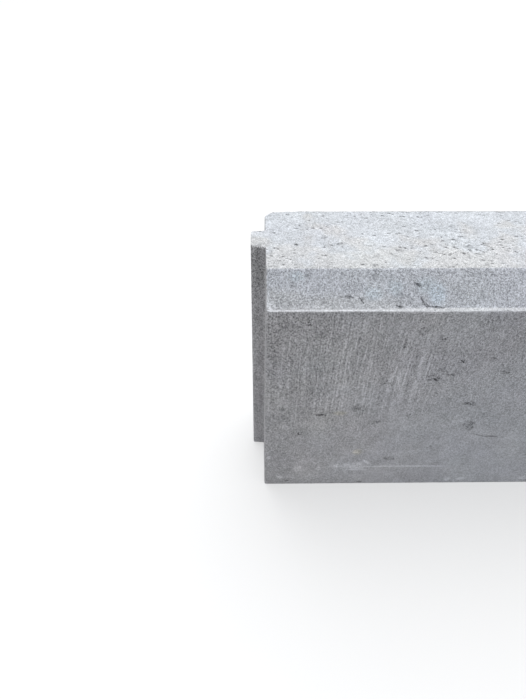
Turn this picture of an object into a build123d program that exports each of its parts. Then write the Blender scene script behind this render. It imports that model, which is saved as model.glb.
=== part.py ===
"""Precast concrete kerb stone, pressed upright in one piece.

The stone is 1 m long, 100 mm thick and 250 mm high. Its front top arris is splayed at 45 degrees and
ends on a narrow level ledge. One end carries an upright tongue and the other the groove that takes the
next stone's tongue.

The stone stands on its bed. X runs along it, from the tongue end to the groove end, Y from the front
face to the back, and Z up. The origin is the middle of the bed, measured without the tongue.
All sizes are in millimetres.
"""

import os

from build123d import *

# The block
stone_length = 1000.0  # end face to end face, without the tongue
stone_width = 100.0  # front face to back face
stone_height = 250.0  # bed to top
corner_radius = 2.0  # the four upright outer corners

# The splayed front arris
splay_width = 20.0  # across the stone
splay_height = 20.0  # down the stone
ledge_width = 2.5  # level ledge between the splay's foot and the front face

# The tongue, in plan
tongue_length = 11.0  # how far it stands out of its end face
tongue_root_width = 22.0  # where it meets the end face
tongue_tip_width = 20.0
tongue_tip_radius = 2.0
tongue_root_radius = 1.0  # inside corners at the root

# What the groove is wider and deeper than the tongue by
groove_mouth_clearance = 4.0  # each side, at the end face
groove_floor_clearance = 3.0  # each side, at the tongue's tip
groove_depth_clearance = 1.0
groove_floor_radius = 2.0
groove_mouth_radius = 1.5  # outer corners at the mouth

# Planes that the sizes above give
tongue_end = -stone_length / 2
groove_end = stone_length / 2
front = -stone_width / 2
back = stone_width / 2
flat_top_start = front + ledge_width + splay_width
joint_middle = (flat_top_start + back) / 2  # the joint is centred on the flat of the top


def corners_at(sketch, places, radius):
    """Rounds the sketch's corners that lie at the given places."""
    picked = [sketch.vertices().sort_by_distance(place)[0] for place in places]
    return fillet(picked, radius)


def joint_outline(end_face, reach, root_width, tip_width):
    """A tapered key in plan, from the end face towards -X by reach, or into the stone at the other end."""
    tip = end_face - reach
    return [
        (end_face, joint_middle - root_width / 2),
        (tip, joint_middle - tip_width / 2),
        (tip, joint_middle + tip_width / 2),
        (end_face, joint_middle + root_width / 2),
    ]


def mould_outline():
    """The stone in plan: the same outline from bed to top, as the lifting mould box leaves it."""
    groove_depth = tongue_length + groove_depth_clearance
    tongue = joint_outline(tongue_end, tongue_length, tongue_root_width, tongue_tip_width)
    groove = joint_outline(
        groove_end,
        groove_depth,
        tongue_root_width + 2 * groove_mouth_clearance,
        tongue_tip_width + 2 * groove_floor_clearance,
    )
    outer_corners = [(x, y) for x in (tongue_end, groove_end) for y in (front, back)]

    block = Rectangle(stone_length, stone_width)
    outline = block + make_face(Polyline(*tongue, close=True)) - make_face(Polyline(*groove, close=True))
    outline = corners_at(outline, outer_corners, corner_radius)
    outline = corners_at(outline, tongue[1:3], tongue_tip_radius)
    outline = corners_at(outline, (tongue[0], tongue[3]), tongue_root_radius)
    outline = corners_at(outline, groove[1:3], groove_floor_radius)
    return corners_at(outline, (groove[0], groove[3]), groove_mouth_radius)


def splay_cut():
    """What the press shoe keeps free above the front arris: the splay and the ledge at its foot."""
    foot = stone_height - splay_height
    section = Polyline(
        (front, foot),
        (front + ledge_width, foot),
        (flat_top_start, stone_height),
        (front, stone_height),
        close=True,
    )
    return extrude(Plane.YZ * make_face(section), stone_length / 2 + tongue_length, both=True)


def kerb_stone():
    return extrude(mould_outline(), stone_height) - splay_cut()


os.makedirs("parts", exist_ok=True)
export_step(kerb_stone(), "parts/kerb_stone.step")
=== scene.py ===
"""How the concrete kerb stone looks: its worn and gritty skin, the concrete it is pressed from, a pale studio
floor, soft light and the camera.

Everything is in metres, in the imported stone's own frame: X runs along the stone from the tongue to the
groove, Y from the splayed front to the back, and Z up from the bed. What ends in _mm is in millimetres, and
so are the sizes and places in the trees of the stone's relief and its materials.
"""
import math
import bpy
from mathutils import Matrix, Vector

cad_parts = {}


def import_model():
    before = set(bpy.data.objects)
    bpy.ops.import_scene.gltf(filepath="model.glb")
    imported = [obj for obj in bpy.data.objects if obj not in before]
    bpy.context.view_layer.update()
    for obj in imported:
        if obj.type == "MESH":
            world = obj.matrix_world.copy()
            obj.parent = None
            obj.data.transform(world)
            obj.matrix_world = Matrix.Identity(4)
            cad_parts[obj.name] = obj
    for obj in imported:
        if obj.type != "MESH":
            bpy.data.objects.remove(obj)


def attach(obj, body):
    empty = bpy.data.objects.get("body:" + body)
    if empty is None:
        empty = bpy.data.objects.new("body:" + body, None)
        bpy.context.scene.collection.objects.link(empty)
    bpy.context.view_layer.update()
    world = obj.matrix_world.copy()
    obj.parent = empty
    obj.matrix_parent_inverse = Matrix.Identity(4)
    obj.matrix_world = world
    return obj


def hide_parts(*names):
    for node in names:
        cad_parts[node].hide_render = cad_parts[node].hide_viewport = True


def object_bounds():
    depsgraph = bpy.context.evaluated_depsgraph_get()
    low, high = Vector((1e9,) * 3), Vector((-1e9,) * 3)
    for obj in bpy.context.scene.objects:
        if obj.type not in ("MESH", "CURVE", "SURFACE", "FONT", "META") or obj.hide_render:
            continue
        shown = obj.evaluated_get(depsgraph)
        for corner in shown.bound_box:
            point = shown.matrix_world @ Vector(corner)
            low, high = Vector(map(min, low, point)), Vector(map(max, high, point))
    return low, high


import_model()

from types import SimpleNamespace

import bpy
import numpy as np
from mathutils import Matrix, Vector
from mathutils.kdtree import KDTree

MM = 0.001
PER_METRE = 1000.0
cad_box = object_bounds()

# The mould's sizes, as in the solid
END_MM = 500.0
SIDE_MM = 50.0
TOP_MM = 250.0
LEDGE_Y_MM = -47.5
LEDGE_Z_MM = 230.0
FLAT_Y_MM = -27.5
OUTER_RADIUS_MM = 2.0
KEY_MIDDLE_MM = 11.25
TONGUE_MM = 11.0
TONGUE_ROOT_MM = 22.0
TONGUE_TIP_MM = 20.0
GROOVE_MM = 12.0
GROOVE_MOUTH_MM = 30.0
GROOVE_FLOOR_MM = 26.0
MOUTH_RADIUS_MM = 1.5

# The skin's rows of points stand closest by an arris: the step at it, the next steps, and how far both reach
ARRIS_STEP_MM = 0.7
SECOND_STEP_MM = 1.3
ARRIS_REACH_MM = 2.0

# How far from a side of the tongue or the groove its taper still moves the rows of points
TAPER_REACH_MM = 12.0

# Distances to the arrises count up to this one, and what is smaller than the other one is nothing
FARTHEST_MM = 30.0
TINY_MM = 1e-6

# Where parts of the stone start and where they are full: the front and the splay across the stone, and the
# part along the stone where the ledge is broken
FRONT_FROM_MM = (-45.0, -48.0)
SPLAY_FROM_MM = (-25.9, -27.1)
BROKEN_FROM_MM = (-440.0, -380.0)


class Value:
    """A node's output, which Python's operators build the tree's Math nodes on."""

    def __init__(self, tree, socket):
        self.tree = tree
        self.socket = socket

    def other(self, name):
        """Another output of the same node."""
        return Value(self.tree, self.socket.node.outputs[name])

    def math(self, operation, *others):
        return self.tree.calculate(operation, self, *others)

    def __add__(self, other):
        return self.math("ADD", other)

    def __radd__(self, other):
        return self.math("ADD", other)

    def __sub__(self, other):
        return self.math("SUBTRACT", other)

    def __rsub__(self, other):
        return self.tree.calculate("SUBTRACT", other, self)

    def __mul__(self, other):
        return self.math("MULTIPLY", other)

    def __truediv__(self, other):
        return self.math("DIVIDE", other)


class Tree:
    """A node tree under construction."""

    def __init__(self, nodes):
        self.nodes = nodes
        nodes.nodes.clear()

    def node(self, kind, settings=None, inputs=None, output=0):
        """Adds a node: first its settings, then its sockets' values or links. Gives one of its outputs."""
        made = self.nodes.nodes.new(kind)
        for name, setting in (settings or {}).items():
            setattr(made, name, setting)
        for key, value in (inputs or {}).items():
            if isinstance(value, Value):
                self.nodes.links.new(value.socket, made.inputs[key])
            else:
                made.inputs[key].default_value = value
        return Value(self, made.outputs[output]) if made.outputs else None

    def calculate(self, operation, *numbers):
        return self.node("ShaderNodeMath", {"operation": operation}, dict(enumerate(numbers)))

    def largest(self, first, *others):
        """The largest of some values. Of some masks it makes one."""
        found = first
        for other in others:
            found = self.calculate("MAXIMUM", found, other)
        return found

    def step(self, value, start, end):
        """0 up to start, 1 from end on, smooth between them. Start may lie above end."""
        before, after = (1.0, 0.0) if start > end else (0.0, 1.0)
        limits = {"From Min": min(start, end), "From Max": max(start, end), "To Min": before, "To Max": after}
        smooth = {"interpolation_type": "SMOOTHSTEP"}
        return self.node("ShaderNodeMapRange", smooth, {"Value": value, **limits})

    def vector(self, operation, *vectors, output="Vector"):
        return self.node("ShaderNodeVectorMath", {"operation": operation}, dict(enumerate(vectors)), output)

    def scaled(self, vector, factor):
        return self.node("ShaderNodeVectorMath", {"operation": "SCALE"}, {"Vector": vector, "Scale": factor})

    def dot(self, one, two):
        return self.vector("DOT_PRODUCT", one, two, output="Value")

    def length(self, vector):
        return self.vector("LENGTH", vector, output="Value")

    def axes(self, vector):
        """A vector's three numbers."""
        first = self.node("ShaderNodeSeparateXYZ", {}, {"Vector": vector}, "X")
        return first, first.other("Y"), first.other("Z")

    def point(self, x, y, z=0.0):
        """A vector of three numbers."""
        return self.node("ShaderNodeCombineXYZ", {}, {"X": x, "Y": y, "Z": z})

    def surface_mm(self):
        """Where a piece's surface lies, for its material."""
        return self.scaled(self.node("ShaderNodeTexCoord", {}, {}, "Object"), PER_METRE)

    def painted_number(self, name):
        """A number that a piece's points carry, for its material."""
        return self.node("ShaderNodeAttribute", {"attribute_name": name}, {}, "Fac")

    def point_mm(self):
        """Where a piece's points lie, for its relief."""
        return self.scaled(self.node("GeometryNodeInputPosition"), PER_METRE)

    def point_number(self, name):
        """A number that a piece's points carry, for its relief."""
        return self.node("GeometryNodeInputNamedAttribute", {"data_type": "FLOAT"}, {"Name": name})

    def spread(self, place, size, shifts):
        """A place counted in sizes of a pattern, and shifted. The size is one, or one for each axis."""
        sizes = size if isinstance(size, tuple) else (size, size, size)
        return self.vector("MULTIPLY_ADD", place, tuple(1.0 / one for one in sizes), shifts)

    def noise(self, place, size, detail=2.0, roughness=0.5, shift=0.0):
        """Noise from -1 to 1 about 0."""
        place = self.spread(place, size, (shift, 1.7 * shift, 0.6 * shift))
        inputs = {"Vector": place, "Scale": 1.0, "Detail": detail, "Roughness": roughness}
        return self.node("ShaderNodeTexNoise", {}, inputs) * 2.0 - 1.0

    def cells(self, place, size, output="Distance", shift=0.0):
        """Scattered cells: the distance to the nearest centre, in cells, or a random colour for each cell."""
        inputs = {"Vector": self.spread(place, size, (shift, shift, shift)), "Scale": 1.0}
        return self.node("ShaderNodeTexVoronoi", {}, inputs, output)

    def random(self, low, high, seed):
        """A random number for each point, or a random vector if the limits are vectors.

        The node has limits and an output of the same name for each kind of value, so they go by their place.
        """
        is_vector = isinstance(low, tuple)
        first, kind = (0, "FLOAT_VECTOR") if is_vector else (2, "FLOAT")
        inputs = {first: low, first + 1: high, 8: seed}
        return self.node("FunctionNodeRandomValue", {"data_type": kind}, inputs, 0 if is_vector else 1)

    def mixed(self, factor, one, two):
        """Two colours mixed. The node's sockets for colours go by their place, as above."""
        return self.node("ShaderNodeMix", {"data_type": "RGBA"}, {0: factor, 6: one, 7: two}, 2)


def stations(*marks):
    """Places along a line. Each mark is a place and the step from it to the next."""
    places = []
    for (start, step), (end, _) in zip(marks, marks[1:]):
        count = max(1, round((end - start) / step))
        places += [start + (end - start) * i / count for i in range(count)]
    return places + [marks[-1][0]]


def after(arris, step):
    """Marks for the close rows that follow an arris, and for the step beyond them."""
    return (arris, ARRIS_STEP_MM), (arris + ARRIS_STEP_MM, SECOND_STEP_MM), (arris + ARRIS_REACH_MM, step)


def before(arris, step):
    """Marks for the close rows that lead to an arris, and for the step beyond it."""
    return (arris - ARRIS_REACH_MM, SECOND_STEP_MM), (arris - ARRIS_STEP_MM, ARRIS_STEP_MM), (arris, step)


def top_height(y):
    """How high the pressed face stands over a place across the stone: ledge, splay, flat."""
    return np.interp(y, [LEDGE_Y_MM, FLAT_Y_MM], [LEDGE_Z_MM, TOP_MM])


def round_corner(x, y, corner, inward, radius):
    """Moves the points near an outer corner onto its arc."""
    u = (x - corner[0]) * -inward[0] + radius
    v = (y - corner[1]) * -inward[1] + radius
    inside = (u > 0) & (v > 0) & (u <= radius + TINY_MM) & (v <= radius + TINY_MM)
    shrink = np.where(inside, np.maximum(u, v) / np.maximum(np.hypot(u, v), TINY_MM), 1.0)
    moved_x = corner[0] - inward[0] * (u * shrink - radius)
    moved_y = corner[1] - inward[1] * (v * shrink - radius)
    return np.where(inside, moved_x, x), np.where(inside, moved_y, y)


def shape_plan(x, y):
    """Turns the square grid's plan into the mould's: tapered tongue, tapered groove and rounded corners."""
    out = np.clip((-END_MM - x) / TONGUE_MM, 0, 1)
    y = KEY_MIDDLE_MM + (y - KEY_MIDDLE_MM) * (1 - out * (1 - TONGUE_TIP_MM / TONGUE_ROOT_MM))

    mouth = GROOVE_MOUTH_MM / 2
    floor_x = END_MM - GROOVE_MM
    depth = np.interp(x, [floor_x - TAPER_REACH_MM, floor_x, END_MM], [0, 1, 0])
    off = y - KEY_MIDDLE_MM
    pull = np.interp(np.abs(off), [0, mouth, mouth + TAPER_REACH_MM], [0, 1, 0])
    y = y - np.sign(off) * depth * pull * (GROOVE_MOUTH_MM - GROOVE_FLOOR_MM) / 2

    for end in (-1, 1):
        for side in (-1, 1):
            x, y = round_corner(x, y, (end * END_MM, side * SIDE_MM), (-end, -side), OUTER_RADIUS_MM)
    for side in (-1, 1):
        tip = (-END_MM - TONGUE_MM, KEY_MIDDLE_MM + side * TONGUE_TIP_MM / 2)
        x, y = round_corner(x, y, tip, (1, -side), OUTER_RADIUS_MM)
        lip = (END_MM, KEY_MIDDLE_MM + side * mouth)
        x, y = round_corner(x, y, lip, (-1, side), MOUTH_RADIUS_MM)
    return x, y


def skin():
    """The mould's shape as one closed skin of small quads, with what each point lies on as attributes."""
    root = TONGUE_ROOT_MM / 2
    mouth = GROOVE_MOUTH_MM / 2
    low, high = KEY_MIDDLE_MM - root, KEY_MIDDLE_MM + root
    near, far = KEY_MIDDLE_MM - mouth, KEY_MIDDLE_MM + mouth
    tongue_x = stations(*after(-END_MM - TONGUE_MM, 2.3), (-END_MM, 0))[:-1]
    body_x = stations(*after(-END_MM, 2.5), (END_MM - GROOVE_MM, 2.5), *before(END_MM, 0))
    across = stations(
        (-SIDE_MM, 0.4),
        (-SIDE_MM + 0.4, 0.85),
        (LEDGE_Y_MM - 0.4, 0.4),
        (LEDGE_Y_MM, 0.5),
        (LEDGE_Y_MM + 0.5, 2.2),
        (FLAT_Y_MM - 1, 1.0),
        (FLAT_Y_MM, 1.0),
        (FLAT_Y_MM + 1, 2.4),
        *before(near, 2.0),
        *after(low, 2.3),
        *before(high, 2.0),
        *after(far, 2.5),
        *before(SIDE_MM, 0),
    )
    up = stations(*after(0, 4.8), (LEDGE_Z_MM - 3, 1.5), (LEDGE_Z_MM, 0))
    along = tongue_x + body_x
    first = len(tongue_x)
    last = len(along) - 1
    floor_i = along.index(END_MM - GROOVE_MM)
    index_of = {round(y, 4): j for j, y in enumerate(across)}
    low_j, high_j, near_j, far_j, ledge_j, flat_j = (
        index_of[round(y, 4)] for y in (low, high, near, far, LEDGE_Y_MM, FLAT_Y_MM)
    )

    def solid(i, j):
        """Whether a cell of the plan is concrete."""
        if not (0 <= i < last and 0 <= j < len(across) - 1):
            return False
        if i < first:
            return low_j <= j < high_j
        return not (i >= floor_i and near_j <= j < far_j)

    levels = len(up) - 1
    numbers = {}

    def point(i, j, k):
        return numbers.setdefault((i, j, k), len(numbers))

    faces = []
    for i in range(last):
        for j in range(len(across) - 1):
            if not solid(i, j):
                continue
            plan = ((i, j), (i + 1, j), (i + 1, j + 1), (i, j + 1))
            faces.append([point(*p, levels) for p in plan])
            faces.append([point(*p, 0) for p in reversed(plan)])
            for side, (di, dj) in enumerate(((0, -1), (1, 0), (0, 1), (-1, 0))):
                if solid(i + di, j + dj):
                    continue
                a, b = plan[side], plan[(side + 1) % 4]
                for k in range(levels):
                    faces.append([point(*a, k), point(*b, k), point(*b, k + 1), point(*a, k + 1)])

    keys = np.array(list(numbers))
    plan_x = np.array(along)[keys[:, 0]]
    plan_y = np.array(across)[keys[:, 1]]
    x, y = shape_plan(plan_x, plan_y)
    z = np.array(up)[keys[:, 2]] / LEDGE_Z_MM * top_height(plan_y)
    points = np.column_stack([x, y, z])

    def on_rim(i, j):
        """Whether one of the four cells about a point of the plan isn't concrete."""
        return not all(solid(i + a, j + b) for a in (-1, 0) for b in (-1, 0))

    is_top = keys[:, 2] == levels
    is_bed = keys[:, 2] == 0
    rim = np.array([on_rim(i, j) for i, j, _ in keys.tolist()])
    corner = np.isin(keys[:, 0], (first, last)) & np.isin(keys[:, 1], (0, len(across) - 1))
    tip = (keys[:, 0] == 0) & np.isin(keys[:, 1], (low_j, high_j))
    lip = (keys[:, 0] == last) & np.isin(keys[:, 1], (near_j, far_j))
    share = np.where(rim, 0.5, 1.0)
    values = {
        "pressed": np.where(is_top, share, 0.0),
        "bed": np.where(is_bed, share, 0.0),
        "ledge": np.where(is_top & (keys[:, 1] <= ledge_j), 1.0, 0.0),
        "arris_mm": distances(points, ((is_top | is_bed) & rim) | corner | tip | lip),
        "splay_arris_mm": distances(points, is_top & (keys[:, 1] == flat_j)),
    }

    mesh = bpy.data.meshes.new("stone_skin")
    mesh.from_pydata((points * MM).tolist(), [], faces)
    for name, carried in values.items():
        attribute = mesh.attributes.new(name, "FLOAT", "POINT")
        attribute.data.foreach_set("value", carried.astype(np.float32))
    mesh.polygons.foreach_set("use_smooth", [True] * len(mesh.polygons))
    mesh.update()
    return mesh


def distances(points, marked):
    """How far each point is from the nearest marked one."""
    chosen = points[marked]
    tree = KDTree(len(chosen))
    for number, place in enumerate(chosen.tolist()):
        tree.insert(place, number)
    tree.balance()
    return np.array([min(tree.find(place)[2], FARTHEST_MM) for place in points.tolist()])


def group(name, kind, inputs, outputs):
    """A node group under construction, with its named inputs and outputs. Gives it and its inputs."""
    nodes = bpy.data.node_groups.new(name, kind)
    tree = Tree(nodes)
    for label, socket in outputs.items():
        nodes.interface.new_socket(name=label, in_out="OUTPUT", socket_type="NodeSocket" + socket)
    for label, socket in inputs.items():
        nodes.interface.new_socket(name=label, in_out="INPUT", socket_type="NodeSocket" + socket)
    entry = nodes.nodes.new("NodeGroupInput")
    return tree, {socket.name: Value(tree, socket) for socket in entry.outputs if socket.name}


def apply_group(piece, nodes, values):
    """Runs a Geometry Nodes tree on a piece and keeps the result as its plain mesh."""
    modifier = piece.modifiers.new(nodes.name, "NODES")
    modifier.node_group = nodes
    for item in nodes.interface.items_tree:
        if item.in_out == "INPUT" and item.name in values:
            modifier[item.identifier] = values[item.name]
    view = bpy.context.evaluated_depsgraph_get()
    mesh = bpy.data.meshes.new_from_object(
        piece.evaluated_get(view), preserve_all_data_layers=True, depsgraph=view
    )
    piece.modifiers.clear()
    piece.data = mesh


# Corners that are knocked off: the corner, the way it faces, how deep the chip is and how far it reaches
CHIPS_MM = [
    ((-500, 50, 250), (-1, 1.0, 1.2), 4.2, 18),
    ((-500, 50, 250), (-0.03, 1.0, 1.0), 1.3, 27),
    ((-511, 1.25, 250), (-1, -1, 1), 1.3, 6),
    ((-505, 0.8, 250), (0, -1, 1), 1.7, 6),
    ((-500, -50, 230), (-1, -1, 0.5), 1.3, 6),
    ((500, -50, 230), (1, -1, 1), 1.4, 8),
    ((500, 50, 250), (1, 1, 1), 1.6, 8),
    ((500, -50, 0), (1, -1, -1), 2.2, 10),
    ((500, 50, 0), (1, 1, -1), 1.5, 8),
]


def relief_group():
    """Moves the skin inwards: pressed grit, drag marks, worn arrises and knocked-off corners."""
    depths = {"Grit depth": "Float", "Drag depth": "Float", "Wear depth": "Float"}
    tree, given = group(
        "pressed_relief",
        "GeometryNodeTree",
        {"Geometry": "Geometry", **depths, "Material": "Material"},
        {"Geometry": "Geometry"},
    )
    place = tree.point_mm()
    along, across, height_up = tree.axes(place)
    normal = tree.node("GeometryNodeInputNormal")
    pressed, bed, ledge = (tree.point_number(name) for name in ("pressed", "bed", "ledge"))
    arris, splay_arris = (tree.point_number(name) for name in ("arris_mm", "splay_arris_mm"))
    upright = 1.0 - pressed - bed

    # Grit and pits on the pressed faces, long shallow drags on the upright ones, and hollows in the bed
    swell = tree.noise(place, 70.0, 1.0)
    grit = tree.noise(place, 7.0, 2.0, 0.6) * 0.7 + tree.noise(place, 16.0, 1.0) * 0.4
    hollow = tree.step(tree.cells(place, (15.0, 11.0, 11.0)), 0.3, 0.08)
    chosen = tree.step(tree.noise(place, 40.0, 2.0, 0.5, 5.0), 0.0, 0.25)
    pressed_depth = 0.45 + grit + swell * 0.3 + hollow * chosen * 1.2
    drag = tree.noise(place, (12.0, 12.0, 90.0), 1.0) + swell * 0.8
    drag_depth = 0.5 + drag * 0.5
    bed_depth = tree.step(tree.noise(place, 9.0, 2.0, 0.6), 0.0, 0.8)

    # Wear along the arrises, less of it at the foot, with a nick here and there
    rough_edge = tree.noise(place, 11.0, 3.0, 0.6, 3.0)
    nicks = tree.step(tree.noise(place, 23.0, 2.0, 0.55, 9.0), 0.28, 0.6)
    worn = tree.step(arris, 2.2, 0.0) * (0.55 + rough_edge * 0.5) + tree.step(arris, 5.0, 0.0) * nicks * 1.6
    worn = worn * (1.0 - tree.step(height_up, 12.0, 3.0) * 0.6)
    splay_worn = tree.step(splay_arris, 4.0, 0.0) * (0.6 + rough_edge * 0.6)

    depth = (
        tree.largest(pressed_depth, 0.0) * pressed * given["Grit depth"]
        + tree.largest(drag_depth, 0.0) * upright * given["Drag depth"]
        + bed_depth * bed * given["Drag depth"]
        + tree.largest(worn + splay_worn, 0.0) * given["Wear depth"]
    )

    # The ledge keeps its level, but its lip sags where it is broken
    lip = ledge * tree.step(across, -48.7, -50.0)
    ragged = tree.step(tree.noise(place, 14.0, 3.0, 0.65, 14.0), -0.35, 0.45)
    sag = lip * (0.25 + ragged * 0.5 + tree.step(along, *BROKEN_FROM_MM) * 0.6)
    sunk = tree.point(0.0, 0.0, (sag + ledge * 0.05) * -MM)
    offset = tree.vector("ADD", tree.scaled(normal, depth * (1.0 - ledge) * -MM), sunk)
    moved = tree.node("GeometryNodeSetPosition", {}, {"Geometry": given["Geometry"], "Offset": offset})

    uneven = tree.noise(place, 6.0, 2.0, 0.6, 12.0) * 0.5
    for corner, facing, deep, reach in CHIPS_MM:
        way = tuple(Vector(facing).normalized())
        away = tree.vector("SUBTRACT", place, corner)
        beyond = tree.largest(tree.dot(away, way) + deep + uneven, 0.0)
        near = tree.step(tree.length(away), reach, reach * 0.8)
        off = tree.scaled(way, beyond * near * -MM)
        moved = tree.node("GeometryNodeSetPosition", {}, {"Geometry": moved, "Offset": off})

    painted = tree.node("GeometryNodeSetMaterial", {}, {"Geometry": moved, "Material": given["Material"]})
    tree.node("NodeGroupOutput", {}, {"Geometry": painted})
    return tree.nodes


# Oval places: the middle and the reach each way. On the pressed faces the middle is a place in plan, and on
# the front face it is a place along the stone and a height. First the torn places on the top and the splay:
PRESSED_TEARS_MM = [
    (-444, 2, 6.0, 3.4),
    (-456, 11.5, 3.0, 4.0),
    (-451.5, 1.2, 4.0, 2.4),
    (-476, 2.8, 4.5, 3.0),
    (-350, -1.8, 6.5, 3.0),
    (-346, -10.6, 6.0, 3.0),
    (-359, 9, 4.5, 3.2),
    (-350, 11.5, 4.5, 3.2),
    (-337, 2, 4.0, 3.0),
    (-388.5, 18.8, 5.0, 2.6),
    (-402, -4.5, 4.5, 3.2),
    (-377, 3, 3.2, 3.2),
    (-383, -15, 5.5, 3.4),
    (-422.5, -24, 3.8, 3.0),
    (-343.5, -24, 4.0, 2.4),
    (-393.5, -35.5, 3.8, 2.2),
    (-443, -41.5, 5.4, 2.0),
    (-432, -43.5, 3.8, 2.4),
    (-407, -46.2, 4.0, 1.8),
    (-471, -31.2, 4.6, 2.0),
    (-424, -30.8, 3.6, 2.0),
    (-481.5, -36, 3.4, 2.4),
    (-347, -42, 3.0, 2.8),
    (-460, -44, 3.6, 2.4),
    (-505.5, 1.3, 6.5, 2.0),
]

# Places on the top that the press left more open than the rest
OPEN_TOP_MM = [
    (-362, 0, 56.0, 28.0),
    (-468, 25, 11.0, 9.0),
    (-447.5, 28.5, 11.0, 7.0),
    (-403, -4.8, 11.0, 8.0),
]

# Places on the top that are a little lighter than the rest, and one that is a little duller
LIGHT_TOP_MM = [
    (-467.5, 40, 17.0, 9.0),
    (-429.5, 40, 17.0, 9.0),
    (-351, 40, 28.0, 8.0),
]
DULL_TOP_MM = [(-347, 22, 27.0, 9.0)]

# Pale and cooler places on the splay
PALE_SPLAY_MM = [
    (-424.5, -40, 9.0, 5.0),
    (-409, -37, 8.0, 5.5),
    (-478, -31, 8.0, 4.0),
    (-387, -36, 10.0, 6.0),
]
PALEST_SPLAY_MM = [(-379.5, -40.5, 9.0, 8.0)]

# A part of the splay that is a plainer grey, along the ledge, and its dull places
GREY_SPLAY_MM = [
    (-450, -46.5, 75.0, 9.0),
    (-490, -44, 34.0, 9.0),
]
DULL_SPLAY_MM = [
    (-490, -44, 34.0, 9.0),
    (-421.5, -31, 11.0, 4.5),
    (-438.5, -36.5, 11.0, 6.0),
]

# Torn places on the front face, where the lift pulled single grains out, and fainter ones
FRONT_TEARS_MM = [
    (-367, 159.5, 9.0, 5.5),
    (-352.5, 163, 6.0, 2.6),
    (-451, 112.3, 8.0, 3.0),
    (-420, 121, 10.0, 6.5),
    (-328, 126.5, 8.0, 4.6),
    (-321, 98, 8.5, 6.5),
    (-318.5, 92, 5.0, 6.0),
    (-311, 166, 5.5, 4.5),
    (-348, 178.5, 5.5, 4.0),
    (-382, 45, 7.5, 5.0),
    (-347.5, 63.5, 5.0, 3.6),
    (-469, 85, 5.0, 5.0),
]
FRONT_FAINT_MM = [
    (-400, 153, 12.0, 6.5),
    (-402, 103, 6.0, 4.0),
    (-376, 111.7, 5.0, 4.0),
    (-347, 133, 6.0, 3.6),
    (-386, 210, 7.0, 6.5),
    (-324, 180, 6.5, 4.5),
    (-485, 121, 6.5, 5.0),
    (-369.5, 203.5, 7.0, 4.5),
    (-384, 185, 6.0, 4.5),
    (-395, 196, 5.0, 7.0),
    (-469, 218, 7.0, 4.0),
    (-361.5, 168, 9.0, 3.2),
    (-386.5, 173, 6.0, 3.6),
]

# Pale rubs on the front face, low down
FRONT_RUBS_MM = [
    (-467.5, 28, 7.5, 8.0),
    (-447.5, 28, 3.6, 5.5),
    (-431.5, 32, 6.0, 5.5),
    (-413, 32, 16.0, 9.0),
    (-485, 12.8, 5.0, 3.4),
    (-496.5, 47, 3.4, 5.0),
    (-317, 7, 5.0, 5.0),
    (-303.5, 7.5, 5.5, 4.0),
    (-415, 56, 3.4, 4.5),
]

# Warm stains on the front face
FRONT_STAINS_MM = [
    (-436, 114.5, 9.0, 4.0),
    (-413.5, 56, 7.0, 6.5),
]

# A part of the front face that the mould dragged most, and one that came out closed and smooth
FRONT_DRAGGED_MM = [(-425, 160, 110.0, 105.0)]
FRONT_CLOSED_MM = [(-285, 75, 125.0, 140.0)]

# Parts of the front face that are a little darker than the rest, and some that are a little lighter
FRONT_DULL_MM = [
    (-480, 187, 26.0, 20.0),
    (-452, 211, 22.0, 17.0),
    (-470, 112, 44.0, 17.0),
]
FRONT_LIGHT_MM = [
    (-355, 209, 45.0, 22.0),
    (-489, 222, 15.0, 10.0),
]

# Thin lines: both ends and the reach, places as above. First short cracks on the splay, most at its foot:
SPLAY_CRACK_MM = [
    ((-391.5, -41.5), (-388.5, -45.5), 1.1),
    ((-388.5, -45.5), (-385, -46.6), 1.7),
    ((-385, -46.6), (-375, -47.3), 1.2),
    ((-395.2, -34.5), (-390.6, -36.6), 1.25),
    ((-442.5, -41.1), (-438.3, -42.0), 0.85),
    ((-434.3, -42.0), (-431.4, -44.8), 0.85),
    ((-408.2, -45.8), (-404.3, -46.8), 0.8),
]

# The pale ledge turns up the splay at the end
LEDGE_CURL_MM = [((-499.5, -43.0), (-496.4, -48.0), 2.6)]

# Short cracks and deep pits on the front face
FRONT_CRACK_MM = [
    ((-313, 84), (-303, 80), 1.3),
    ((-303, 80), (-290, 79.5), 1.8),
    ((-365.8, 158.7), (-361.8, 155.1), 1.9),
    ((-361, 141.3), (-358.3, 139.8), 1.7),
    ((-350.5, 180), (-347, 177), 1.2),
    ((-454.5, 112.3), (-449, 112.8), 1.2),
    ((-407, 3.4), (-402.8, 3.0), 3.6),
    ((-479.5, 6), (-476, 7), 2.6),
]

# A long pale scratch, a shorter one below it and a short one with a hollow above it
FRONT_SCRATCH_MM = [
    ((-404, 31.2), (-328, 31), 2.6),
    ((-421, 25.2), (-400, 25), 1.8),
    ((-406.5, 42.5), (-397.5, 34.5), 3.4),
]

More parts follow.
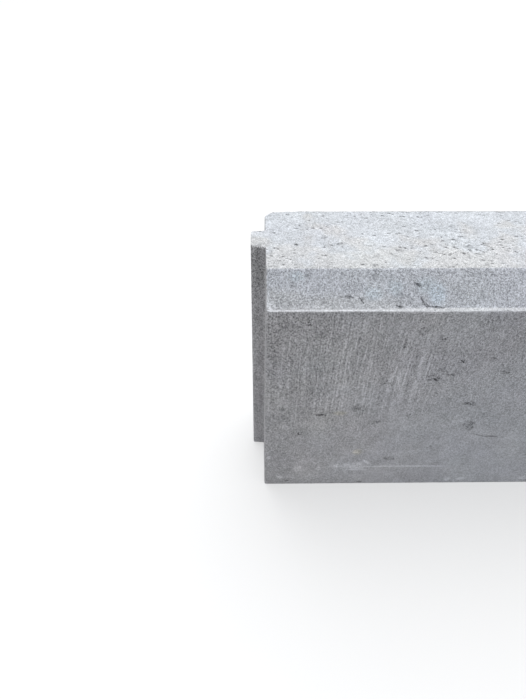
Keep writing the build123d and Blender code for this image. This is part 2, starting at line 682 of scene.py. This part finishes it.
# The concrete's greys before its tone, by face and place, and the greys of the grains that stand out of it
BACK_TOP_COLOUR = (0.482, 0.501, 0.530, 1.0)
FRONT_TOP_COLOUR = (0.491, 0.494, 0.503, 1.0)
SPLAY_COLOUR = (0.452, 0.466, 0.505, 1.0)
GREY_SPLAY_COLOUR = (0.459, 0.468, 0.490, 1.0)
PALE_SPLAY_COLOUR = (0.436, 0.470, 0.512, 1.0)
PALEST_SPLAY_COLOUR = (0.431, 0.478, 0.535, 1.0)
LEDGE_COLOUR = (0.466, 0.473, 0.492, 1.0)
UPRIGHT_COLOUR = (0.538, 0.532, 0.545, 1.0)
FAR_UPRIGHT_COLOUR = (0.529, 0.529, 0.556, 1.0)
CLOSED_COLOUR = (0.516, 0.530, 0.563, 1.0)
STAIN_COLOUR = (0.60, 0.56, 0.43, 1.0)
DARK_GRAIN_COLOUR = (0.45, 0.465, 0.485, 1.0)
PALE_GRAIN_COLOUR = (0.62, 0.625, 0.635, 1.0)

# The studio's plain white
WHITE = (1.0, 1.0, 1.0, 1.0)


def patches(tree, place, marks):
    """Some oval places together: 1 in the inner third of one, 0 at its rim and outside."""
    nearest = None
    for one, two, reach_one, reach_two in marks:
        rates = (1.0 / reach_one, 1.0 / reach_two, 0.0)
        shifts = (-one / reach_one, -two / reach_two, 0.0)
        away = tree.length(tree.vector("MULTIPLY_ADD", place, rates, shifts))
        nearest = away if nearest is None else tree.calculate("MINIMUM", nearest, away)
    return tree.step(nearest, 1.0, 0.3)


def line_group():
    """How near a thin line a place lies: 1 on the line, 0 at its reach, which is widest half way."""
    tree, given = group(
        "thin_line",
        "ShaderNodeTree",
        {"Place": "Vector", "Start": "Vector", "Along": "Vector", "Rate": "Float", "Reach": "Float"},
        {"Inside": "Float"},
    )
    away = tree.vector("SUBTRACT", given["Place"], given["Start"])
    share = tree.dot(away, given["Along"]) * given["Rate"]
    share = tree.node("ShaderNodeClamp", {}, {"Value": share, "Min": 0.0, "Max": 1.0})
    across = tree.length(tree.vector("SUBTRACT", away, tree.scaled(given["Along"], share)))
    wide = given["Reach"] * (1.0 - tree.calculate("ABSOLUTE", share - 0.5))
    tree.node("NodeGroupOutput", {}, {"Inside": tree.step(across / wide, 1.0, 0.0)})
    return tree.nodes


def thin_lines(tree, one_line, place, marks):
    """Some thin lines together, each given by both ends and its reach, in the first two axes of the place."""
    found = []
    for start, end, reach in marks:
        along = (end[0] - start[0], end[1] - start[1], 0.0)
        rate = 1.0 / (along[0] ** 2 + along[1] ** 2)
        inputs = {"Place": place, "Start": (*start, 0.0), "Along": along, "Rate": rate, "Reach": reach}
        found.append(tree.node("ShaderNodeGroup", {"node_tree": one_line}, inputs))
    return tree.largest(*found)


def pits(tree, place, chance):
    """Small pits in some of the cells between the crumbs. A higher chance gives more of the cells one."""
    distance = tree.cells(place, (2.8, 2.0, 2.0), "Distance", 3.0)
    lot, width_lot, depth_lot = tree.axes(distance.other("Color"))
    depth = 0.5 + depth_lot * 0.6
    narrow = 0.7 + width_lot * 0.7
    return tree.step(distance * narrow, 0.55, 0.3) * tree.step(lot + chance, 0.94, 1.0) * depth


def hollows(tree, place):
    """Shallow hollows between the crumbs."""
    return tree.step(tree.noise(place, (3.4, 2.4, 2.4), 2.0, 0.6, 9.0), 0.2, 0.44)


def new_material(name):
    """A new material, and its empty tree."""
    material = bpy.data.materials.new(name)
    material.use_nodes = True
    return material, Tree(material.node_tree)


def finish_surface(tree, inputs, bump):
    """Ends a material's tree in one bumped surface."""
    normal = tree.node("ShaderNodeBump", {}, bump)
    shader = tree.node("ShaderNodeBsdfPrincipled", {}, {**inputs, "Normal": normal})
    tree.node("ShaderNodeOutputMaterial", {}, {"Surface": shader})


def skin_places(tree):
    """Where each point of the skin lies and, as masks from 0 to 1, which part of the stone it is on."""
    at = SimpleNamespace()
    at.place = tree.surface_mm()
    at.along, at.across, at.height = tree.axes(at.place)
    at.pressed, at.ledge, at.arris = (tree.painted_number(name) for name in ("pressed", "ledge", "arris_mm"))
    at.upright = 1.0 - at.pressed
    at.front = tree.step(at.across, *FRONT_FROM_MM) * at.upright
    at.splay = tree.step(at.across, *SPLAY_FROM_MM) * at.pressed
    at.top = at.pressed - at.splay
    at.broken = tree.step(at.along, *BROKEN_FROM_MM)
    at.lower = tree.step(at.height, 170.0, 40.0)

    # The upright faces that the lists above leave bare
    past_lists, at_back = tree.step(at.along, -285.0, -240.0), tree.step(at.across, 45.0, 48.0)
    at.unlisted = tree.largest(past_lists, at_back) * at.upright
    return at


def add_grain(tree, at):
    """Adds the grain: each grain of sand has its own tone, and the paste between them is fine to coarse."""
    sand, _, _ = tree.axes(tree.cells(at.place, (0.62, 0.62, 1.0), "Color"))
    at.sand = sand - 0.5
    at.speckle = at.sand * 1.15 + tree.noise(at.place, (0.9, 0.9, 1.6), 1.0, 0.6, 2.0) * 0.25
    at.crumb = tree.noise(at.place, 4.2, 2.0, 0.6, 4.0)
    at.mottle = tree.noise(at.place, 15.0, 2.0, 0.6, 13.0)
    at.blotch = tree.noise(at.place, 45.0, 2.0, 0.5)
    at.ragged = tree.noise(at.place, 2.6, 2.0, 0.6, 8.0)


def add_ragged_places(tree, at):
    """Adds the places that marks are put by, in plan and on the front face, so that their rims are ragged."""
    wide, slight = at.ragged * 1.8, at.ragged * 0.7
    at.plan = tree.point(at.along + wide, at.across - wide)
    at.face = tree.point(at.along + wide, at.height - wide)
    at.thin_plan = tree.point(at.along + slight, at.across - slight)
    at.thin_face = tree.point(at.along + slight, at.height - slight)
    at.pit_place = tree.point(at.along + wide, at.across - slight, at.height)


def add_tears(tree, at):
    """Adds torn places, those of the lists and scattered ones, where single grains are lost."""
    scattered = tree.step(tree.noise(at.place, (12.0, 9.0, 7.0), 2.0, 0.5, 7.0), 0.25, 0.65)
    listed = patches(tree, at.plan, PRESSED_TEARS_MM)
    at.pressed_tears = tree.largest(listed, scattered * 0.5) * at.pressed
    at.holes = tree.step(at.pressed_tears * 0.8 + at.speckle * 0.6, 0.5, 0.9)

    faint = patches(tree, at.face, FRONT_FAINT_MM) * 0.62
    listed = tree.largest(patches(tree, at.face, FRONT_TEARS_MM), faint) * at.front
    others = tree.step(scattered, 0.1, 0.5) * 0.8 * at.unlisted
    at.upright_tears = tree.largest(listed, scattered * 0.4 * at.upright, others)
    coarse, _, _ = tree.axes(tree.cells(at.place, (1.2, 1.2, 1.6), "Color", 5.0))
    chance = tree.calculate("MINIMUM", at.upright_tears * 0.9, 0.58)
    at.lost_grains = tree.step(chance + coarse * 0.6, 0.86, 0.98)


def add_thin_marks(tree, at):
    """Adds short cracks, pale scratches, and the curl of the ledge at the stone's end."""
    one_line = line_group()
    splay_cracks = thin_lines(tree, one_line, at.thin_plan, SPLAY_CRACK_MM)
    front_cracks = thin_lines(tree, one_line, at.thin_face, FRONT_CRACK_MM) + at.sand * 0.3
    splay_cracks = tree.step(splay_cracks, 0.2, 0.7) * at.pressed
    at.cracks = tree.largest(splay_cracks, tree.step(front_cracks, 0.25, 0.75) * at.front)
    at.scratch = thin_lines(tree, one_line, at.thin_face, FRONT_SCRATCH_MM) * at.front
    at.curl = thin_lines(tree, one_line, at.thin_plan, LEDGE_CURL_MM) * at.pressed


def add_openings(tree, at):
    """Adds hollows and pits where the press left the top open, each with a lit rim, and whole crumbs."""
    wide_open = tree.step(tree.noise(at.place, 60.0, 1.0, 0.5, 5.0), -0.1, 0.4)
    wide_open = tree.largest(wide_open * 0.8, patches(tree, at.plan, OPEN_TOP_MM))
    wide_open = (0.35 + wide_open * 0.65) * at.pressed * (1.0 - at.splay * 0.7)
    at.hollows = hollows(tree, at.place) * wide_open
    beside = hollows(tree, tree.vector("ADD", at.place, (0.0, -1.5, 0.0))) * wide_open
    at.lit_rims = tree.largest(beside - at.hollows * 1.5, 0.0)

    chance = at.pressed_tears * 0.45 + wide_open * 0.25 - 0.07
    at.pits = pits(tree, at.pit_place, chance) * at.pressed
    beside = pits(tree, tree.vector("ADD", at.pit_place, (0.5, 1.6, 0.0)), chance) * at.top
    at.lit_pit_rims = tree.largest(beside - at.pits, 0.0)
    chunk = tree.cells(at.pit_place, (3.8, 3.0, 3.0), "Distance", 8.0)
    _, lot, _ = tree.axes(chunk.other("Color"))
    at.chunks = tree.step(chunk, 0.6, 0.25) * tree.step(lot, 0.7, 0.95) * at.top * (1.0 - at.pits)


def add_rubs(tree, at):
    """Adds pale rubs low on the upright faces, in level strokes: listed ones and scattered ones."""
    strokes = tree.step(tree.noise(at.place, (9.0, 9.0, 1.8), 1.0, 0.6, 18.0), -0.35, 0.45)
    others = tree.step(tree.noise(at.place, (20.0, 20.0, 9.0), 2.0, 0.5, 23.0), 0.15, 0.55)
    others = others * tree.step(at.height, 60.0, 20.0) * at.unlisted
    listed = patches(tree, at.face, FRONT_RUBS_MM) * at.front
    at.rubs = tree.largest(listed, others) * (0.3 + strokes * 0.7)


def add_drag_marks(tree, at):
    """Adds thin straight pale marks from lifting off the mould box, fewer of them towards the bed."""
    ribs = tree.noise(at.place, (1.25, 1.25, 150.0), 0.0, 0.5, 1.0)
    lines = tree.step(ribs, 0.0, 0.3) - tree.step(ribs, -0.1, -0.35) * 0.4
    lengths = tree.step(tree.noise(at.place, (3.0, 3.0, 18.0), 1.0, 0.5, 21.0), -0.25, 0.2)
    share = tree.step(tree.noise(at.place, (22.0, 22.0, 40.0), 2.0, 0.5, 6.0), -0.3, 0.3) * 0.7
    share = tree.largest(share, patches(tree, at.face, FRONT_DRAGGED_MM) * at.front)
    at.closed = patches(tree, at.face, FRONT_CLOSED_MM) * at.front
    at.dragged = lines * lengths * share * (1.0 - at.lower * 0.5) * (1.0 - at.closed * 0.8)


def pressed_tone(tree, at):
    """How light the pressed faces are. The ledge is lightest at its lip."""
    tone = 1.045 + at.blotch * 0.11 + at.mottle * 0.19 + at.crumb * 0.12 + at.speckle * 0.6
    # Painted shade in the hollows and pits, and painted highlights on the lit rims beside them. On the splay
    # the pits' painted shade is weaker
    tone = tone - at.hollows * 0.36 + at.lit_rims * 0.2
    tone = tone - at.pits * 0.46 + at.lit_pit_rims * 0.18 + at.chunks * 0.13
    tone = tone + at.splay * (at.speckle * 0.22 - at.mottle * 0.05 - at.crumb * 0.08 + at.pits * 0.14)
    # The ledge is lighter, with painted shade in its inner corner at the foot of the splay, less of it where
    # the ledge is broken
    inside = tree.step(at.across, -48.9, -48.1) * (0.4 - at.broken * 0.22)
    return tone + at.ledge * (0.2 + at.broken * 0.1 - inside - at.speckle * 0.25)


def upright_tone(tree, at):
    """How light the upright faces are. They are darker by the tongue and a little darker towards the top."""
    near_end = tree.step(at.along, -380.0, -470.0)
    end_shade = tree.step(at.along, -450.0, -493.0) * (0.055 + at.lower * 0.07)
    far_shine = tree.step(at.along, -350.0, -300.0) * 0.025
    # Painted shadow in a band under the ledge: weak by the tongue, and none where the ledge is broken
    ledge_shadow = tree.step(at.height, 214.0, 227.0) * at.front * (1.0 - at.broken)
    ledge_shadow = ledge_shadow * (0.2 + tree.step(at.along, -480.0, -455.0) * 0.8)
    tone = 1.051 - end_shade + far_shine - at.height * 0.00085 - ledge_shadow * (0.1 + at.crumb * 0.1)
    tone = tone + at.blotch * 0.17 + at.mottle * (0.13 + at.lower * 0.09)
    tone = tone + at.crumb * (0.02 + at.lower * 0.05)
    tone = tone + at.speckle * (0.67 - at.lower * 0.17 + near_end * 0.13) + at.closed * 0.025
    tone = tone + at.dragged * 0.32 + at.rubs * 0.6 + at.scratch * 0.42
    # Painted shade in the sockets of lost grains, and the torn places a little darker
    tone = tone - at.lost_grains * 0.34 - at.upright_tears * 0.07
    dull = patches(tree, at.face, FRONT_DULL_MM) * at.front
    light = patches(tree, at.face, FRONT_LIGHT_MM) * at.front
    return tone - dull * 0.1 + light * 0.06


def skin_tone(tree, at):
    """How light each point of the skin is, about 1."""
    tone = pressed_tone(tree, at) * at.pressed + upright_tone(tree, at) * at.upright
    # Painted shade in the holes and the cracks; the torn places are a little darker and the ledge's curl is
    # pale
    tone = tone - at.pressed_tears * 0.04 - at.holes * 0.24 - at.cracks * 0.45 + at.curl * 0.5
    for marks, part, change in (
        (PALE_SPLAY_MM, at.splay, 0.06),
        (PALEST_SPLAY_MM, at.splay, 0.15),
        (DULL_SPLAY_MM, at.splay, -0.1),
        (LIGHT_TOP_MM, at.top, 0.08),
        (DULL_TOP_MM, at.top, -0.12),
    ):
        tone = tone + patches(tree, at.plan, marks) * part * change

    # The arrises: painted shade in a ragged line at the back, dark over the splay, light at the ends, and a
    # painted highlight under the ledge that widens its lit line
    back = tree.step(at.across, 47.9, 48.9) * tree.step(at.height, 245.0, 248.0) * (0.3 + at.ragged * 0.3)
    over_splay = tree.step(at.across, -34.0, -28.5) * at.splay
    end = tree.step(at.arris, 1.3, 0.4) * at.pressed * tree.step(at.across, 47.0, 46.0)
    # Painted highlight: the lit ledge line carried down the front face in a ragged pale band
    lip_height = at.height + at.crumb * 1.8 + at.ragged * 0.9 + at.broken * 0.9
    lip = tree.step(lip_height, 227.7, 228.9) * at.front * (0.28 + at.broken * 0.08)
    return tone - back - over_splay * 0.1 + end * 0.08 + lip


def skin_colour(tree, at):
    """The concrete's grey before its tone, a little warmer or cooler by face and place."""
    forward = tree.step(at.across + tree.noise(at.place, 25.0, 2.0, 0.5, 15.0) * 100.0, 24.0, -16.0)
    top = tree.mixed(forward, BACK_TOP_COLOUR, FRONT_TOP_COLOUR)
    splay = SPLAY_COLOUR
    for marks, part, colour in (
        (GREY_SPLAY_MM, 1.0, GREY_SPLAY_COLOUR),
        (PALE_SPLAY_MM, at.splay, PALE_SPLAY_COLOUR),
        (PALEST_SPLAY_MM, at.splay, PALEST_SPLAY_COLOUR),
    ):
        splay = tree.mixed(patches(tree, at.plan, marks) * part, splay, colour)
    pressed = tree.mixed(at.ledge, tree.mixed(at.splay, top, splay), LEDGE_COLOUR)

    far = tree.step(at.along + tree.noise(at.place, 40.0, 1.0, 0.5, 17.0) * 100.0, -500.0, -340.0)
    upright = tree.mixed(far, UPRIGHT_COLOUR, FAR_UPRIGHT_COLOUR)
    upright = tree.mixed(at.closed * 0.7, upright, CLOSED_COLOUR)
    colour = tree.mixed(at.pressed, upright, pressed)
    stains = patches(tree, at.face, FRONT_STAINS_MM) * at.front
    colour = tree.mixed(stains * 0.35, colour, STAIN_COLOUR)

    hues = tree.node("ShaderNodeTexNoise", {}, {"Vector": at.place, "Scale": 0.025, "Detail": 2.0}, "Color")
    tint = tree.vector("MULTIPLY_ADD", hues, (0.03, 0.02, 0.04), (0.985, 0.99, 0.98))
    return tree.vector("MULTIPLY", colour, tint)


def skin_height(tree, at):
    """The relief that is finer than the skin's quads."""
    pressed = at.speckle * 0.12 + at.crumb * (0.5 - at.splay * 0.35)
    pressed = pressed - at.hollows * 0.5 - at.pits * 0.5 - at.cracks * 0.5
    upright = at.speckle * 0.1 + at.dragged * 0.05 - at.lost_grains * 0.4 - at.cracks * 0.3
    return pressed * at.pressed + upright * at.upright


def concrete():
    """Dry-pressed concrete: open and sandy on the pressed faces, closed and dragged on the upright ones."""
    material, tree = new_material("dry_pressed_concrete")
    at = skin_places(tree)
    add_grain(tree, at)
    add_ragged_places(tree, at)
    add_tears(tree, at)
    add_thin_marks(tree, at)
    add_openings(tree, at)
    add_rubs(tree, at)
    add_drag_marks(tree, at)
    colour = tree.scaled(skin_colour(tree, at), skin_tone(tree, at))
    matt = {"Base Color": colour, "Roughness": 0.93, "Specular IOR Level": 0.25}
    finish_surface(tree, matt, {"Strength": 1.0, "Distance": MM, "Height": skin_height(tree, at)})
    return material


def grains_group():
    """Scatters half-sunk grains over the pressed faces, thickest along the ledge, inside the given box."""
    sizes = {"Density": "Float", "Smallest": "Float", "Largest": "Float", "Seed": "Int"}
    box = {"Lowest": "Vector", "Highest": "Vector"}
    tree, given = group(
        "half_sunk_grains",
        "GeometryNodeTree",
        {"Geometry": "Geometry", **sizes, **box, "Material": "Material"},
        {"Geometry": "Geometry"},
    )
    seed = given["Seed"]
    patch = tree.step(tree.noise(tree.point_mm(), 25.0, 2.0, 0.6, 3.0), -0.5, 0.4)
    density = given["Density"] * tree.step(tree.point_number("pressed"), 0.6, 0.95)
    density = density * (0.35 + patch * 0.8 + tree.point_number("ledge") * 1.6)
    scatter = {"Mesh": given["Geometry"], "Density": density, "Seed": seed}
    settings = {"distribute_method": "RANDOM"}
    points = tree.node("GeometryNodeDistributePointsOnFaces", settings, scatter, "Points")
    normal = points.other("Normal")

    share = tree.random(0.0, 1.0, seed)
    radius = given["Smallest"] + (given["Largest"] - given["Smallest"]) * share * share
    sunk = tree.scaled(normal, radius * -0.45)
    points = tree.node("GeometryNodeSetPosition", {}, {"Geometry": points, "Offset": sunk})
    tone = tree.random(0.0, 1.0, seed + 1.0)
    store = {"Geometry": points, "Name": "grain_tone", "Value": tone}
    points = tree.node("GeometryNodeStoreNamedAttribute", {"data_type": "FLOAT", "domain": "POINT"}, store)

    # Each grain is a coarse ball, turned any way and stretched unevenly
    full_turn, least, most = (6.28, 6.28, 6.28), (0.7, 0.7, 0.7), (1.15, 1.15, 1.15)
    grain = tree.node("GeometryNodeMeshIcoSphere", {}, {"Radius": 1.0, "Subdivisions": 1})
    turned = tree.random((0.0, 0.0, 0.0), full_turn, seed + 2.0)
    uneven = tree.random(least, most, seed + 3.0)
    placed = {"Points": points, "Instance": grain, "Rotation": turned, "Scale": tree.scaled(uneven, radius)}
    placed = tree.node("GeometryNodeInstanceOnPoints", {}, placed)
    real = tree.node("GeometryNodeRealizeInstances", {}, {"Geometry": placed})

    inside = tree.vector("MAXIMUM", tree.node("GeometryNodeInputPosition"), given["Lowest"])
    inside = tree.vector("MINIMUM", inside, given["Highest"])
    kept = tree.node("GeometryNodeSetPosition", {}, {"Geometry": real, "Position": inside})
    rounded = tree.node("GeometryNodeSetShadeSmooth", {}, {"Geometry": kept})
    painted = tree.node("GeometryNodeSetMaterial", {}, {"Geometry": rounded, "Material": given["Material"]})
    tree.node("NodeGroupOutput", {}, {"Geometry": painted})
    return tree.nodes


def grain_sand():
    """Sand and fine gravel with a film of cement, from dark to pale grain by grain."""
    material, tree = new_material("coated_sand")
    place = tree.surface_mm()
    _, across, _ = tree.axes(place)
    tone = tree.painted_number("grain_tone")
    film = tree.noise(place, 0.6, 2.0, 0.6)
    on_splay = tree.step(across, *SPLAY_FROM_MM) * tree.step(across, -48.0, -46.5)
    colour = tree.mixed(tone * tone, DARK_GRAIN_COLOUR, PALE_GRAIN_COLOUR)
    colour = tree.scaled(colour, (1.0 + film * 0.2) * (1.0 - on_splay * 0.1))
    matt = {"Base Color": colour, "Roughness": 0.85, "Specular IOR Level": 0.3}
    finish_surface(tree, matt, {"Strength": 0.6, "Distance": 0.2 * MM, "Height": film})
    return material


def plain_rays(tree):
    """1 for the rays that show the floor and the backdrop themselves, in view or in a gloss."""
    path = tree.node("ShaderNodeLightPath", {}, {}, "Is Camera Ray")
    return tree.largest(path, path.other("Is Glossy Ray"), path.other("Is Transmission Ray"))


def studio_floor():
    """A pale floor that shows the stone's shadow. It throws back less light than it shows."""
    half = 14.0
    mesh = bpy.data.meshes.new("studio_floor")
    corners = [(-half, -half, 0), (half, -half, 0), (half, half, 0), (-half, half, 0)]
    mesh.from_pydata(corners, [], [(0, 1, 2, 3)])
    material, tree = new_material("pale_floor")
    shown = plain_rays(tree)
    thrown_back, seen = (0.38, 0.38, 0.385, 1.0), (0.84, 0.84, 0.84, 1.0)
    matt = {"Base Color": tree.mixed(shown, thrown_back, seen), "Roughness": 1.0, "Specular IOR Level": 0.0}
    lit = tree.node("ShaderNodeBsdfPrincipled", {}, matt)
    white = tree.node("ShaderNodeEmission", {}, {"Color": WHITE, "Strength": 1.0})

    # Near the stone half of what shows is lit, so that a shadow shows, and far off all of it is plain white
    away = tree.length(tree.node("ShaderNodeTexCoord", {}, {}, "Object"))
    share = shown * (0.48 + tree.step(away, 0.9, 3.5) * 0.52)
    shader = tree.node("ShaderNodeMixShader", {}, {0: share, 1: lit, 2: white})
    tree.node("ShaderNodeOutputMaterial", {}, {"Surface": shader})
    mesh.materials.append(material)
    floor = bpy.data.objects.new("studio_floor", mesh)
    bpy.context.scene.collection.objects.link(floor)


def studio_light():
    """Soft light that is strongest overhead, and a large lamp above and a little behind the stone."""
    world = bpy.data.worlds.new("studio")
    bpy.context.scene.world = world
    world.use_nodes = True
    tree = Tree(world.node_tree)
    _, _, upward = tree.axes(tree.node("ShaderNodeTexCoord", {}, {}, "Generated"))
    strength = (0.33 + tree.largest(upward, 0.0) * 0.67) * 1.05
    fill = tree.node("ShaderNodeBackground", {}, {"Color": (0.96, 0.98, 1.0, 1.0), "Strength": strength})
    white = tree.node("ShaderNodeBackground", {}, {"Color": WHITE, "Strength": 1.0})
    shown = tree.node("ShaderNodeMixShader", {}, {0: plain_rays(tree), 1: fill, 2: white})
    tree.node("ShaderNodeOutputWorld", {}, {"Surface": shown})

    lamp = bpy.data.lights.new("softbox", "AREA")
    lamp.shape = "DISK"
    lamp.size = 3.0
    lamp.energy = 60.0
    softbox = bpy.data.objects.new("softbox", lamp)
    softbox.location = (-0.26, 1.09, 2.45)
    aim = Vector((0.0, 0.0, 0.1)) - softbox.location
    softbox.rotation_euler = aim.to_track_quat("-Z", "Y").to_euler()
    bpy.context.scene.collection.objects.link(softbox)


def photo_camera():
    """The camera as the photograph's own perspective gives it."""
    focal_px, height_px = 522.0, 699
    place = Vector((-0.506, -0.325, 0.469))
    pitch, yaw, roll = (math.radians(angle) for angle in (45.16, 0.83, 0.30))
    forward = Vector((math.sin(yaw) * math.cos(pitch), math.cos(yaw) * math.cos(pitch), -math.sin(pitch)))
    level = Vector((math.cos(yaw), -math.sin(yaw), 0.0))
    upward = level.cross(forward)
    right = math.cos(roll) * level + math.sin(roll) * upward
    top = -math.sin(roll) * level + math.cos(roll) * upward
    lens = bpy.data.cameras.new("photo_camera")
    lens.sensor_width = 36.0
    lens.lens = lens.sensor_width * focal_px / height_px
    lens.clip_start = 0.01
    camera = bpy.data.objects.new("photo_camera", lens)
    camera.matrix_world = Matrix.LocRotScale(place, Matrix((right, top, -forward)).transposed(), None)
    bpy.context.scene.collection.objects.link(camera)
    bpy.context.scene.camera = camera


def stone(material):
    """The stone itself, with its relief."""
    piece = bpy.data.objects.new("pressed_stone", skin())
    bpy.context.scene.collection.objects.link(piece)
    values = {"Grit depth": 0.5, "Drag depth": 0.2, "Wear depth": 1.0, "Material": material}
    apply_group(piece, relief_group(), values)
    return piece


def proud_grains(carrier, material):
    """The coarser grains that stand out of the pressed faces of the stone."""
    piece = bpy.data.objects.new("proud_grains", carrier.data.copy())
    bpy.context.scene.collection.objects.link(piece)
    values = {
        "Density": 62000.0,
        "Smallest": 0.35 * MM,
        "Largest": 0.95 * MM,
        "Seed": 41,
        "Lowest": cad_box[0],
        "Highest": cad_box[1],
        "Material": material,
    }
    apply_group(piece, grains_group(), values)
    return piece


bpy.context.scene.view_settings.view_transform = "Standard"
body = stone(concrete())
grains = proud_grains(body, grain_sand())
for piece in (body, grains):
    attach(piece, "root")
    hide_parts("kerb_stone")
studio_floor()
studio_light()
photo_camera()

bpy.context.view_layer.update()
